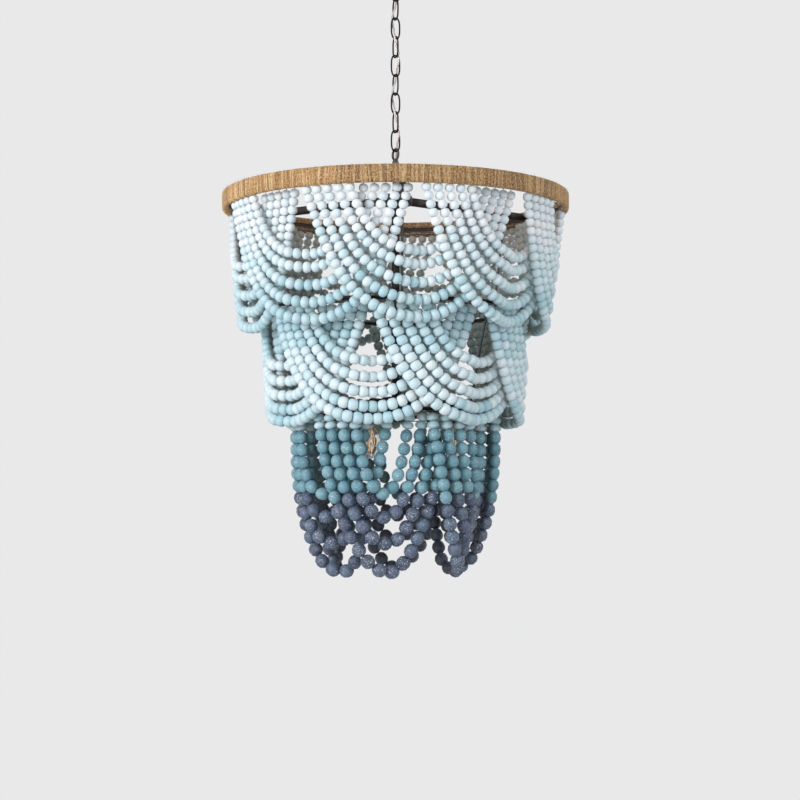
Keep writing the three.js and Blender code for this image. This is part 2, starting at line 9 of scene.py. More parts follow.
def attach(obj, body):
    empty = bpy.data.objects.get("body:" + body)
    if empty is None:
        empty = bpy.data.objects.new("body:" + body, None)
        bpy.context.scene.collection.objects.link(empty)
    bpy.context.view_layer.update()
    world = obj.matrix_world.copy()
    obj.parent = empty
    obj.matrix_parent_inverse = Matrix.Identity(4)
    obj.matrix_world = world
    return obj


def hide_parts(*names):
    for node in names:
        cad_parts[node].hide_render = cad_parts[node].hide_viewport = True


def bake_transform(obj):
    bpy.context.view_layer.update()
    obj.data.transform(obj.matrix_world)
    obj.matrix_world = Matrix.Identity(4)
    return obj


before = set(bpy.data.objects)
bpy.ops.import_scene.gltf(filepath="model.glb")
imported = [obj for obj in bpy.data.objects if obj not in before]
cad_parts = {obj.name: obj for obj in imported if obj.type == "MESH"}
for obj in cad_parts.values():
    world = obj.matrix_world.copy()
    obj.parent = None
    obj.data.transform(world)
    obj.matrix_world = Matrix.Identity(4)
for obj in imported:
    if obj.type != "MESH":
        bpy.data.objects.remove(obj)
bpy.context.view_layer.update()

mm = 0.001  # sizes are in mm unless a note says otherwise
bandDrop = 427.0  # from the ceiling down to the middle of the band


def atBearing(radius, bearing, height):
    # bearings run from the front towards +X, heights from the middle of the band, all in mm
    angle = math.radians(bearing)
    place = Vector((radius * math.sin(angle), -radius * math.cos(angle), height - bandDrop))
    return place * mm


def ink(code):
    # a written colour such as e9f1f4 as the linear values that shaders take
    parts = [int(code[i : i + 2], 16) / 255 for i in (0, 2, 4)]
    return [p / 12.92 if p < 0.04045 else ((p + 0.055) / 1.055) ** 2.4 for p in parts]


def inks(codes):
    return [ink(code) for code in codes.split()]


def between(a, b, share):
    return a + (b - a) * share


def blendInk(a, b, share):
    return [between(x, y, share) for x, y in zip(a, b)]


def fromTable(table, share):
    # value at a share of the shade's depth, from rows of share and value that run downwards
    if share <= table[0][0]:
        return table[0][1]
    for (top, high), (bottom, low) in zip(table, table[1:]):
        if share <= bottom:
            return between(high, low, (share - top) / (bottom - top))
    return table[-1][1]


# Camera.

# places in metres, the lens in mm, the lift as a share of the picture
view = dict(side=0.0074, back=2.85, height=-0.907, lens=77.7, lift=0.119)


def addCamera():
    data = bpy.data.cameras.new("camera")
    data.lens = view["lens"]
    data.sensor_width = 36
    data.shift_y = view["lift"]
    camera = bpy.data.objects.new("camera", data)
    camera.location = (view["side"], -view["back"], view["height"])
    camera.rotation_euler = (math.radians(90), 0, 0)
    bpy.context.collection.objects.link(camera)
    bpy.context.scene.camera = camera
    bpy.context.scene.view_settings.view_transform = "Standard"


addCamera()
print("camera in place")


# Shader helpers: a Tone is one socket, and a Finish is one material.


class Tone:
    def __init__(self, finish, socket):
        self.finish, self.socket = finish, socket

    def maths(self, operation, first, second=0.0):
        return self.finish.node("ShaderNodeMath", dict(operation=operation), {0: first, 1: second})

    def __add__(self, other):
        return self.maths("ADD", self, other)

    def __radd__(self, other):
        return self.maths("ADD", other, self)

    def __mul__(self, other):
        return self.maths("MULTIPLY", self, other)

    def __rmul__(self, other):
        return self.maths("MULTIPLY", other, self)


class Finish:
    def __init__(self, name):
        self.material = bpy.data.materials.new(name)
        self.material.use_nodes = True
        self.tree = self.material.node_tree
        self.tree.nodes.clear()

    def node(self, kind, settings=None, values=None, out=0):
        made = self.tree.nodes.new(kind)
        for key, value in (settings or {}).items():
            setattr(made, key, value)
        for key, value in (values or {}).items():
            if isinstance(value, Tone):
                self.tree.links.new(value.socket, made.inputs[key])
            else:
                made.inputs[key].default_value = value
        return Tone(self, made.outputs[out]) if made.outputs else None

    def place(self):
        return self.node("ShaderNodeTexCoord", out="Object")

    def attribute(self, name, out="Fac"):
        return self.node("ShaderNodeAttribute", dict(attribute_name=name), out=out)

    def noise(self, scale, detail=3.0, vector=None, rough=0.55):
        values = {"Vector": vector or self.place(), "Scale": scale, "Detail": detail, "Roughness": rough}
        return self.node("ShaderNodeTexNoise", values=values)

    def stretched(self, scales, turn=(0.0, 0.0, 0.0)):
        values = {"Vector": self.place(), "Scale": scales, "Rotation": turn}
        return self.node("ShaderNodeMapping", values=values)

    def step(self, value, low, high):
        # 0 below low, 1 above high
        values = {0: value, 1: low, 2: high, 3: 0.0, 4: 1.0}
        return self.node("ShaderNodeMapRange", dict(clamp=True, interpolation_type="SMOOTHSTEP"), values)

    def mix(self, factor, a, b, mode="MIX"):
        colours = [(*c, 1) if isinstance(c, (list, tuple)) else c for c in (a, b)]
        settings = dict(data_type="RGBA", blend_type=mode)
        return self.node("ShaderNodeMix", settings, {0: factor, 6: colours[0], 7: colours[1]}, out=2)

    def bump(self, height, strength, distance):
        values = {"Height": height, "Strength": strength, "Distance": distance * mm}
        return self.node("ShaderNodeBump", values=values)

    def surface(self, **values):
        names = {key.replace("_", " "): value for key, value in values.items()}
        for key, value in names.items():
            if isinstance(value, (list, tuple)) and len(value) == 3:
                names[key] = (*value, 1)
        shader = self.node("ShaderNodeBsdfPrincipled", values=names)
        self.node("ShaderNodeOutputMaterial", values={"Surface": shader})
        return self


# Finishes.


def paintedBeads(name, chalk, bite, veil):
    # wooden beads under a thin chalky wash: the wash attribute holds each bead's own colour,
    # its alpha says where the chalk is rubbed on, and inside marks the side that faces the lamps
    f = Finish(name)
    own = f.attribute("wash", "Color")
    rubbed = f.attribute("wash", "Alpha")
    inside = f.step(f.attribute("inside"), -0.1, 0.75)
    cloudy = f.noise(95.0, 3.0)
    speck = f.noise(430.0, 4.0, vector=f.stretched((1.0, 2.4, 1.0), (0.9, 0.2, 0.5)), rough=0.65)
    drag = f.noise(300.0, 3.0, vector=f.stretched((1.0, 1.0, 3.2), (0.5, 0.3, 0.0)))
    worn = f.mix(f.step(cloudy, 0.35, 0.72) * veil, own, f.mix(0.5, own, ink("f3f6f5")))
    deep = f.mix(f.step(drag, 0.5, 0.75) * bite, worn, f.mix(1.0, own, (0.58, 0.68, 0.74), "MULTIPLY"))
    dust = f.step(speck + drag * 0.5, 0.80, 0.94) * chalk * rubbed
    washed = f.mix(dust, deep, ink("e6edf0"))
    # painted shade: the side that faces the lamps is drawn darker and browner, for the dim warm light
    # inside the shade
    colour = f.mix(inside * 0.9, washed, f.mix(1.0, own, (0.5, 0.41, 0.32), "MULTIPLY"))
    rise = speck * 0.6 + drag * 0.4
    return f.surface(
        Base_Color=colour,
        Roughness=0.4 + speck * 0.25,
        Normal=f.bump(rise, 0.28, 0.35),
    )


def woundJute():
    # twine laid upright, with its fibres twisted slantwise
    f = Finish("wound_jute")
    own = f.attribute("wash", "Color")
    # painted shade: the hollows between turns, found from the wash alpha, are drawn darker
    groove = f.step(f.attribute("wash", "Alpha"), 0.6, 0.1)
    spot = f.place()
    ahead = f.node("ShaderNodeSeparateXYZ", values={0: spot})
    across = f.node("ShaderNodeSeparateXYZ", values={0: spot}, out="Y")
    height = f.node("ShaderNodeSeparateXYZ", values={0: spot}, out="Z")
    turn = ahead.maths("ARCTAN2", ahead, across) * 0.28
    laid = f.node("ShaderNodeCombineXYZ", values={0: turn + height * 0.4, 1: height * 0.2, 2: 0.0})
    slanted = f.node("ShaderNodeCombineXYZ", values={0: turn + height * 0.5, 1: height * 0.5, 2: 0.0})
    dash = f.noise(560.0, 2.0, vector=slanted)
    fibre = f.noise(1700.0, 4.0, vector=laid, rough=0.75)
    strand = f.noise(420.0, 2.0, vector=laid)
    patch = f.noise(34.0, 3.0)
    pale = f.mix(f.step(fibre, 0.46, 0.62) * 0.5, own, ink("ecd0a2"))
    dark = f.mix(f.step(fibre, 0.52, 0.36) * 0.55, pale, ink("54351f"))
    deep = f.mix(f.step(strand, 0.5, 0.32) * 0.35, dark, ink("6b4a30"))
    worn = f.mix(f.step(patch, 0.42, 0.66) * 0.2, deep, ink("94683e"))
    worn = f.mix(f.step(dash, 0.53, 0.64) * 0.6, worn, ink("eacb9a"))
    worn = f.mix(f.step(dash, 0.47, 0.36) * 0.6, worn, ink("6b472a"))
    colour = f.mix(groove * 0.5, worn, ink("4a2f1b"))
    return f.surface(
        Base_Color=colour,
        Roughness=0.93,
        Sheen_Weight=0.8,
        Sheen_Roughness=0.35,
        Sheen_Tint=ink("ffe3bd"),
        Normal=f.bump(fibre, 0.8, 0.7),
    )


def darkBronze(name, tone, rub, rough):
    f = Finish(name)
    grain = f.noise(420.0, 4.0, rough=0.6)
    patch = f.noise(60.0, 3.0)
    colour = f.mix(f.step(patch, 0.42, 0.7) * 0.5, tone, rub)
    colour = f.mix(f.step(grain, 0.6, 0.8) * 0.35, colour, rub)
    return f.surface(
        Base_Color=colour,
        Metallic=0.85,
        Roughness=rough + grain * 0.22,
        Normal=f.bump(grain, 0.12, 0.3),
    )


def plainMetal(name, tone, rough, metallic=0.9):
    f = Finish(name)
    drawn = f.noise(260.0, 3.0, vector=f.stretched((1.0, 1.0, 0.15)))
    colour = f.mix(drawn * 0.5, tone, [part * 0.6 for part in tone])
    return f.surface(
        Base_Color=colour,
        Metallic=metallic,
        Roughness=rough + drawn * 0.2,
        Normal=f.bump(drawn, 0.1, 0.2),
    )


def lampCordSheath():
    # clear sheath over two twisted silver wires
    f = Finish("cord_sheath")
    along = f.attribute("along")
    around = f.attribute("around")
    twist = f.node("ShaderNodeMath", dict(operation="SINE"), {0: along * 520.0 + around * 12.566})
    shade = f.step(twist, -0.6, 0.7)
    colour = f.mix(shade, ink("a28f88"), ink("ded6d0"))
    return f.surface(
        Base_Color=colour,
        Roughness=0.22 + shade * 0.1,
        Metallic=shade * 0.25,
        Coat_Weight=0.6,
        Coat_Roughness=0.08,
        Normal=f.bump(shade, 0.4, 0.4),
    )


def socketShell():
    f = Finish("socket_shell")
    grain = f.noise(300.0, 3.0)
    colour = f.mix(grain, ink("2a1a13"), ink("4a3226"))
    return f.surface(Base_Color=colour, Roughness=0.4 + grain * 0.2, Normal=f.bump(grain, 0.1, 0.2))


def clearGlass():
    f = Finish("bulb_clear_glass")
    haze = f.noise(70.0, 2.0)
    return f.surface(
        Base_Color=(0.98, 0.98, 0.97),
        Transmission_Weight=0.9,
        IOR=1.45,
        Roughness=f.step(haze, 0.3, 0.9) * 0.04,
    )


def hotFilament():
    f = Finish("filament")
    ripple = f.noise(900.0, 2.0)
    glow = f.mix(ripple, ink("cf9550"), ink("e6bd7c"))
    return f.surface(Base_Color=glow, Roughness=0.5, Emission_Color=glow, Emission_Strength=1.5)


finishes = dict(
    upperBeads=paintedBeads("upper_bead_wash", 0.35, 0.22, 0.35),
    middleBeads=paintedBeads("middle_bead_wash", 0.4, 0.25, 0.35),
    lowerBeads=paintedBeads("lower_bead_wash", 0.85, 0.45, 0.12),
    jute=woundJute(),
    bronze=darkBronze("dark_bronze", ink("231f1d"), ink("4c4540"), 0.36),
    chain=darkBronze("chain_bronze", ink("141211"), ink("2b2725"), 0.42),
    wire=darkBronze("dull_frame_wire", ink("63686a"), ink("8d9495"), 0.55),
    stem=darkBronze("rubbed_bronze", ink("3b3735"), ink("7d7873"), 0.42),
    steel=plainMetal("plain_steel", ink("6f6d6a"), 0.4),
    hoop=plainMetal("hoop_steel", ink("3b2b22"), 0.6, 0.4),
    brass=plainMetal("bulb_brass", ink("b18c4d"), 0.28),
    cord=lampCordSheath(),
    socket=socketShell(),
    glass=clearGlass(),
    filament=hotFilament(),
)
print("finishes made")


# Mesh helpers.


def lathe(bm, rows, segments, place=(0.0, 0.0), closed=False, share=1.0):
    # turns rows of radius and height, in mm from the middle of the band, round an upright axis
    spots = [bm.verts.new((place[0] + r * mm, place[1], (z - bandDrop) * mm)) for r, z in rows]
    pairs = list(zip(spots, spots[1:])) + ([(spots[-1], spots[0])] if closed else [])
    edges = [bm.edges.new(pair) for pair in pairs]
    bmesh.ops.spin(
        bm,
        geom=spots + edges,
        cent=(place[0], place[1], 0.0),
        axis=(0.0, 0.0, 1.0),
        angle=math.tau * share,
        steps=segments,
        use_merge=share == 1.0,
    )


def carried(points, closed=False):
    # one matrix for each point of a route, turned as little as can be from one to the next
    frames = []
    across = None
    last = len(points) - 1
    for i, point in enumerate(points):
        before = points[i - 1] if i > 0 or closed else point
        after = points[(i + 1) % len(points)] if i < last or closed else point
        along = (after - before).normalized()
        if across is None:
            across = along.orthogonal()
        across = (across - along * across.dot(along)).normalized()
        third = along.cross(across)
        turn = Matrix((across, third, along)).transposed()
        frames.append(Matrix.Translation(point) @ turn.to_4x4())
    return frames


def sweep(bm, points, radii, sides, closed=False, mark=None):
    # a round tube along points in metres, with radii in mm
    sizes = radii if isinstance(radii, list) else [radii] * len(points)
    frames = [f @ Matrix.Scale(size * mm, 4) for f, size in zip(carried(points, closed), sizes)]
    ring = bmesh.ops.create_circle(bm, segments=sides, radius=1.0, cap_ends=not closed, matrix=frames[0])
    verts = ring["verts"]
    first = list({edge for vert in verts for edge in vert.link_edges})
    edges = first
    rings = [verts]
    for before, after in zip(frames, frames[1:]):
        grown = bmesh.ops.extrude_edge_only(bm, edges=edges)["geom"]
        verts = [part for part in grown if isinstance(part, bmesh.types.BMVert)]
        fresh = set(verts)
        edges = [
            part for part in grown if isinstance(part, bmesh.types.BMEdge) and set(part.verts) <= fresh
        ]
        bmesh.ops.transform(bm, matrix=after @ before.inverted(), verts=verts)
        rings.append(verts)
    if closed:
        bmesh.ops.bridge_loops(bm, edges=first + edges)
    else:
        bmesh.ops.contextual_create(bm, geom=edges)
    if mark:
        markCord(rings, *mark)


def smoothRoute(points, rounds):
    # rounds the corners of a route by cutting them, ends kept
    for _ in range(rounds):
        cut = [points[0]]
        for a, b in zip(points, points[1:]):
            cut += [a.lerp(b, 0.25), a.lerp(b, 0.75)]
        points = cut + [points[-1]]
    return points


def meshFrom(bm, name):
    mesh = bpy.data.meshes.new(name)
    bm.to_mesh(mesh)
    bm.free()
    return mesh


def mergePoints(bm, within=1e-6):
    bmesh.ops.remove_doubles(bm, verts=bm.verts[:], dist=within)
    bmesh.ops.recalc_face_normals(bm, faces=bm.faces[:])


def setPiece(name, mesh, finish, body=None, nodes=(), sharp=0):
    # edges that turn by more than sharp, in degrees, stay crisp; 0 leaves the whole piece smooth
    mesh.polygons.foreach_set("use_smooth", [True] * len(mesh.polygons))
    if sharp:
        mesh.set_sharp_from_angle(angle=math.radians(sharp))
    mesh.materials.append(finishes[finish].material)
    piece = bpy.data.objects.new(name, mesh)
    bpy.context.collection.objects.link(piece)
    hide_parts(*nodes)
    if body:
        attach(piece, body)
    return piece


def finishPiece(name, bm, finish, body=None, nodes=(), sharp=38):
    mergePoints(bm)
    return setPiece(name, meshFrom(bm, name), finish, body, nodes, sharp)


def dress(node, finish):
    # a CAD solid that shows as it is, in its own finish
    for held in bpy.data.objects[node].material_slots:
        held.material = finishes[finish].material


# Lamp cord: woven through the chain, in pieces that each run from the middle of one link to the next,
# across one joint.

chain = dict(
    count=9,
    wire=2.7,
    width=18.5,
    pitch=31.0,
    gap=0.3,  # left between one link's wire and the next
    top=57.5,  # from the ceiling to the middle of the first link's top wire
    facing=121.0,  # bearing along which the first link and every other one lies
    crosswise=31.0,  # bearing of those between, and of both eyes
    oval=0.74,  # 1 is an ellipse, less is fuller in the corners
    points=32,
    sides=12,
)
chain["length"] = chain["pitch"] + 2 * chain["wire"] + chain["gap"]
chain["first"] = bandDrop - chain["top"] - (chain["length"] - chain["wire"]) / 2
chain["centres"] = [chain["first"] - i * chain["pitch"] for i in range(chain["count"])]
eye = dict(wire=4.0, radius=9.0, points=40, sides=14)
eye["top"] = bandDrop - chain["top"] - chain["wire"] / 2 - chain["gap"] - eye["wire"] / 2 + eye["radius"]
lowestWire = chain["centres"][-1] - (chain["length"] - chain["wire"]) / 2
eye["bottom"] = lowestWire + chain["wire"] / 2 + chain["gap"] + eye["wire"] / 2 - eye["radius"]
cordRun = dict(
    diameter=3.4,
    weave=4.1,  # off the chain's middle, on each of its two bearings
    straight=10.5,  # above and below a link's middle
    end=-330.0,
    sides=12,
)


def cordRoute():
    wide = atBearing(1, chain["facing"], bandDrop)
    deep = atBearing(1, chain["crosswise"], bandDrop)
    points = [Vector((0, 0, -0.001)), atBearing(0, 0, eye["top"] + 6)]
    signWide, signDeep = 1, 1

    def woven(height):
        side = (wide * signWide + deep * signDeep) * cordRun["weave"]
        return side + Vector((0, 0, (height - bandDrop) * mm))

    for i, centre in enumerate(chain["centres"]):
        if i == 0:
            points.append(woven(eye["top"] - 2))
        points.append(woven(centre + cordRun["straight"]))
        if i % 2 == 0:
            signDeep = -signDeep
        else:
            signWide = -signWide
        points.append(woven(centre - cordRun["straight"]))
    points.append(woven(eye["bottom"] + 2))
    points.append(atBearing(0, 0, eye["bottom"] - eye["radius"] + 2))
    points.append(atBearing(0, 0, cordRun["end"]))
    return smoothRoute(points, 3)


def markCord(rings, along, around):
    for ring in rings:
        middle = sum((vert.co for vert in ring), Vector()) / len(ring)
        for k, vert in enumerate(ring):
            vert[along] = -middle.z
            vert[around] = abs(2 * k / len(ring) - 1)


def addCord():
    route = cordRoute()
    cuts = [1.0] + [(centre - bandDrop) * mm for centre in chain["centres"]] + [-9.0]
    bodies = ["ceiling_mount"] + [f"link_{i + 1}" for i in range(chain["count"])] + ["fixture"]
    pivots = [-chain["top"] - chain["wire"] / 2 - chain["gap"] - eye["wire"] / 2]
    pivots += [centre - (chain["length"] - chain["wire"]) / 2 - bandDrop for centre in chain["centres"]]
    for i, pivot in enumerate(pivots):
        high, low = cuts[i], cuts[i + 1]
        inside = [k for k, p in enumerate(route) if low < p.z <= high]
        # neighbouring pieces share the point between them
        run = route[max(inside[0] - 1, 0) : inside[-1] + 1]
        bm = bmesh.new()
        marks = [bm.verts.layers.float.new(name) for name in ("along", "around")]
        sweep(bm, run, cordRun["diameter"] / 2, cordRun["sides"], mark=marks)
        nodes = ["lamp_cord"] if i == 0 else []
        piece = finishPiece(f"lamp_cord_{i + 1}", bm, "cord", nodes=nodes)
        bodies[i + 1]
        (pivot + 7) * mm
        (pivot - 7) * mm
        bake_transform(piece)


addCord()
print("cord woven")


# Ceiling fitting and chain.

canopy = dict(radius=63.5, depth=28.0, wall=1.6, hole=13.5)
collar = dict(top=-20.0, bottom=-36.0, radius=12.5, ring=18.5, height=5.0, gap=0.3)


def eyeRing(bm, centre, bearing):
    across = atBearing(1, bearing, bandDrop)
    points = []
    for i in range(eye["points"]):
        angle = math.tau * i / eye["points"]
        height = (centre - bandDrop + eye["radius"] * math.cos(angle)) * mm
        points.append(across * (eye["radius"] * math.sin(angle)) + Vector((0, 0, height)))
    sweep(bm, points, eye["wire"] / 2, eye["sides"], closed=True)


def addCeilingFitting():
    edge, deep, wall = canopy["radius"], canopy["depth"], canopy["wall"]
    outside = [(edge * math.cos(a), -deep * math.sin(a) ** 1.15) for a in (0.0, 0.12, 0.3, 0.5, 0.72, 0.95)]
    outside += [(edge * 0.46, -deep * 0.94), (edge * 0.36, -deep), (canopy["hole"], -deep)]
    inside = [(max(r - wall, canopy["hole"]), min(z + wall, 0.0)) for r, z in reversed(outside)]
    bm = bmesh.new()
    lathe(bm, [(r, z + bandDrop) for r, z in outside + inside], 96, closed=True)
    finishPiece("canopy_cup", bm, "bronze", "canopy_cover", ["canopy"])

    top = bandDrop - deep - collar["gap"]
    bm = bmesh.new()
    inner, outer = collar["radius"] + collar["gap"], collar["ring"]
    foot = top - collar["height"]
    rows = [(inner, foot), (outer - 2.5, foot), (outer - 1.7, foot + 0.6), (outer - 0.3, foot + 2.6)]
    rows += [(outer, foot + 3.4), (outer, top - 0.3), (outer - 0.3, top), (inner, top)]
    lathe(bm, rows, 64, closed=True)
    finishPiece("collar_ring", bm, "bronze", "canopy_cover", ["collar_nut"])

    bm = bmesh.new()
    eyeRing(bm, eye["top"], chain["crosswise"])
    low = bandDrop + collar["bottom"]
    neck = eye["top"] + eye["radius"] - 1
    wide, top = collar["radius"], bandDrop + collar["top"]
    rows = [(0, neck - 2), (3.4, neck - 2), (4.4, neck), (4.8, low - 3), (8, low - 1)]
    rows += [(wide - 0.7, low - 0.3), (wide, low + 0.4), (wide, top), (0, top)]
    lathe(bm, rows, 48)
    finishPiece("canopy_eye", bm, "bronze", "ceiling_mount", ["canopy_loop"])
    dress("ceiling_crossbar", "steel")
    dress("nipple", "steel")
    dress("lock_nut", "brass")


def linkRoute(centre, bearing):
    across = atBearing(1, bearing, bandDrop)
    half = (chain["width"] - chain["wire"]) / 2
    long = (chain["length"] - chain["wire"]) / 2
    points = []
    for i in range(chain["points"]):
        angle = math.tau * i / chain["points"]
        corner = (math.cos(angle), math.sin(angle))
        wide, high = (math.copysign(abs(part) ** chain["oval"], part) for part in corner)
        height = (centre - bandDrop + long * high) * mm
        points.append(across * (half * wide) + Vector((0, 0, height)))
    return points


def addChain():
    for i, centre in enumerate(chain["centres"]):
        bm = bmesh.new()
        bearing = chain["facing"] if i % 2 == 0 else chain["crosswise"]
        sweep(bm, linkRoute(centre, bearing), chain["wire"] / 2, chain["sides"], closed=True)
        nodes = [f"chain_link_{i + 1}"]
        finishPiece(f"link_{i + 1}_wire", bm, "chain", f"link_{i + 1}", nodes, 0)


addCeilingFitting()
addChain()
print("ceiling fitting and chain made")


# Band and frame.

band = dict(
    radius=285.0,
    height=28.0,
    depth=10.0,
    wall=3.0,
    slit=3.2,  # half the gap in the winding's inner face
    turns=900,
    bundle=7,  # turns that lean alike
    lean=1.1,  # at most, at the band's edge, in turns
    rib=0.5,  # how far a full turn swells out
    fullness=(0.25, 1.0),
    copies=36,
    inks=inks("bd9060 a57a4c d6b17e 83593a e6c796 966c44 c89e6c 6f4c31"),
    # painted shade: the inner face of the winding is drawn darker and browner
    paintedInnerShade=(0.55, 0.4, 0.32),
    # painted light: the left end is drawn paler, as lit from the left
    paintedLeftLight=0.45,  # how much paler its left end is
)
fluff = dict(
    tufts=18,
    hairs=50,  # in each tuft
    lift=(0.9, 3.0),
    root=0.4,  # how deep a fibre starts
    drift=0.35,  # in degrees of bearing
    radii=[0.16, 0.12, 0.05],
    ink=ink("cfae82"),
)


def addHair(bm, draw, outer, half):
    # one loose fibre standing off the outer face or an edge of the band
    bearing = draw.uniform(0, 360)
    slant = draw.choice((draw.uniform(-90, 90), draw.uniform(35, 90)))
    lift = draw.uniform(*fluff["lift"])
    height = half * max(-1.0, min(1.0, math.tan(math.radians(slant / 2)) * 1.5))
    away = math.radians(slant)
    points = []
    for share in (0.0, 0.5, 1.0):
        reach = lift * share - fluff["root"]
        drift = draw.uniform(-fluff["drift"], fluff["drift"]) * share
        radius = outer - band["rib"] + reach * math.cos(away)
        points.append(atBearing(radius, bearing + drift, height + reach * math.sin(away)))
    sweep(bm, points, fluff["radii"], 3)


def addTuft(bm, draw, outer, half):
    # loose fibres are swept in a small mesh of their own and joined to the winding
    tuft = bmesh.new()
    wash = tuft.verts.layers.float_color.new("wash")
    for _ in range(fluff["hairs"]):
        addHair(tuft, draw, outer, half)
    for vert in tuft.verts:
        vert[wash] = (*fluff["ink"], 1)
    mesh = meshFrom(tuft, "tuft")
    bm.from_mesh(mesh)
    bpy.data.meshes.remove(mesh)


def woundRound(rows):
    # a part of the turns is spun by itself, and its copies make the round
    part = bmesh.new()
    lathe(part, rows, band["turns"] * 4 // band["copies"], closed=True, share=1 / band["copies"])
    mesh = meshFrom(part, "turns")
    bm = bmesh.new()
    for _ in range(band["copies"]):
        bm.from_mesh(mesh)
        mesh.transform(Matrix.Rotation(math.tau / band["copies"], 4, "Z"))
    bpy.data.meshes.remove(mesh)
    mergePoints(bm, 5e-6)
    bm.normal_update()
    return bm


def addJute():
    outer, half = band["radius"] - band["rib"], band["height"] / 2 - band["rib"]
    inner = band["radius"] - band["depth"] + band["rib"]
    wall, slit = band["wall"] - band["rib"], band["slit"] + band["rib"]
    rows = [(inner, slit), (inner, (slit + half) / 2), (inner, half - 1.4), (inner + 1.4, half)]
    rows += [((inner + outer) / 2, half), (outer - 3.0, half), (outer - 0.9, half - 0.9)]
    rows += [(outer, half - 3.4), (outer, half / 2), (outer, 0), (outer, -half / 2)]
    mirrored = [(r, -z) for r, z in reversed(rows[:8])]
    back = [(inner + wall, -slit), (inner + wall, -half + wall), (outer - wall, -half + wall)]
    lining = back + [(r, -z) for r, z in reversed(back)]
    bm = woundRound(rows + mirrored + lining)
    wash = bm.verts.layers.float_color.new("wash")
    draw = random.Random(41)
    turns = [draw.choice(band["inks"]) for _ in range(band["turns"])]
    lean = [draw.uniform(-band["lean"], band["lean"]) for _ in range(band["turns"])]
    fat = [draw.uniform(*band["fullness"]) for _ in range(band["turns"])]
    for vert in bm.verts:
        bearing = math.atan2(vert.co.x, -vert.co.y) / math.tau % 1.0
        height = vert.co.z / mm + bandDrop
        radius = math.hypot(vert.co.x, vert.co.y) / mm
        turn = bearing * band["turns"]
        which = int(turn + 1e-4) % band["turns"]
        bundle = which // band["bundle"]
        share = which % band["bundle"] / band["bundle"]
        slope = between(lean[bundle], lean[bundle + 1], share) * height / half
        which = int(turn + slope + 1e-4) % band["turns"]
        # the outer face, both edges and the inner face are ribbed, the lining on the hoop is not
        edge = radius > inner + wall + 0.1 and abs(height) > half - wall + 0.1
        swell = math.cos(math.tau * (turn + slope))
        if edge or radius > outer - wall + 0.1 or radius < inner + wall - 0.1:
            vert.co += vert.normal * (swell * fat[which] * band["rib"] * mm)
        # painted light on the left end: its turns are drawn paler
        paintedLeftLight = 1 + band["paintedLeftLight"] * max(0.0, -vert.co.x / mm / outer)
        # painted shade on the inner face: its turns are drawn darker and browner
        tint = band["paintedInnerShade"] if radius < inner + 0.1 else (paintedLeftLight, paintedLeftLight, paintedLeftLight)
        tone = [part * share for part, share in zip(turns[which], tint)]
        # the alpha follows each turn's swell, for the painted shade in the grooves
        vert[wash] = (*tone, 0.5 + 0.5 * swell)
    for _ in range(fluff["tufts"]):
        addTuft(bm, draw, outer, half)
    finishPiece("jute_winding", bm, "jute", "fixture", ["jute_wrap"], 0)
    dress("band_hoop", "hoop")


arms = dict(
    bearings=(3, 123, 243),
    half=6.0,  # of the bar's thickness
    rise=7.0,
    root=20.0,
    end=256.0,
    tongue=2.8,  # half its thickness
    sink=1.0,
    tip=14.0,
    edge=0.9,
)
hub = dict(radius=28.0, top=14.0, bottom=-1.0, gap=0.3)
strut = dict(wire=4.0, topRadius=222.07, top=-4.82, gap=0.3, sides=12)
rings = dict(
    wire=6.0,
    above=2.6,  # from the ties up to the wire's lowest line
    places=[("middle", 206.0, -182.0), ("lower", 154.0, -350.0)],  # radius, height of the ties
    points=120,
    sides=12,
)


def addArm(bm, bearing):
    # a square bar, drawn out to a flat tongue under the jute
    outAlong = atBearing(1, bearing, bandDrop) / mm
    turn = Matrix((outAlong, Vector((0, 0, 1)).cross(outAlong), Vector((0, 0, 1)))).transposed()
    length, thick = arms["end"] - arms["root"], 2 * arms["half"]
    made = bmesh.ops.create_cube(bm, size=1.0)
    bmesh.ops.scale(bm, vec=(length * mm, thick * mm, thick * mm), verts=made["verts"])
    far = [face for vert in made["verts"] for face in vert.link_faces if face.normal.x > 0.9]
    drawn = bmesh.ops.extrude_face_region(bm, geom=list(set(far)))["geom"]
    tip = [part for part in drawn if isinstance(part, bmesh.types.BMVert)]
    bmesh.ops.scale(bm, vec=(1, 1, arms["tongue"] / arms["half"]), verts=tip)
    bmesh.ops.translate(bm, vec=(arms["half"] * mm, 0, -arms["sink"] * mm), verts=tip)
    bmesh.ops.delete(bm, geom=list(set(far)), context="FACES")
    faces = [part for part in drawn if isinstance(part, bmesh.types.BMFace)]
    more = bmesh.ops.extrude_face_region(bm, geom=faces)["geom"]
    end = [part for part in more if isinstance(part, bmesh.types.BMVert)]
    bmesh.ops.translate(bm, vec=(arms["tip"] * mm, 0, 0), verts=end)
    verts = made["verts"] + tip + end
    drop = math.atan2(arms["half"], length)
    middle = (arms["end"] + arms["root"]) / 2
    place = Matrix.Translation(atBearing(middle, bearing, arms["rise"] - arms["half"] / 2))
    tilt = Matrix.Rotation(drop, 4, "Y")
    bmesh.ops.transform(bm, matrix=place @ turn.to_4x4() @ tilt, verts=verts)
    sides = list({edge for vert in verts for edge in vert.link_edges})
    edge = arms["edge"] * mm
    bmesh.ops.bevel(bm, geom=sides, offset=edge, segments=2, affect="EDGES", profile=0.5, material=-1)


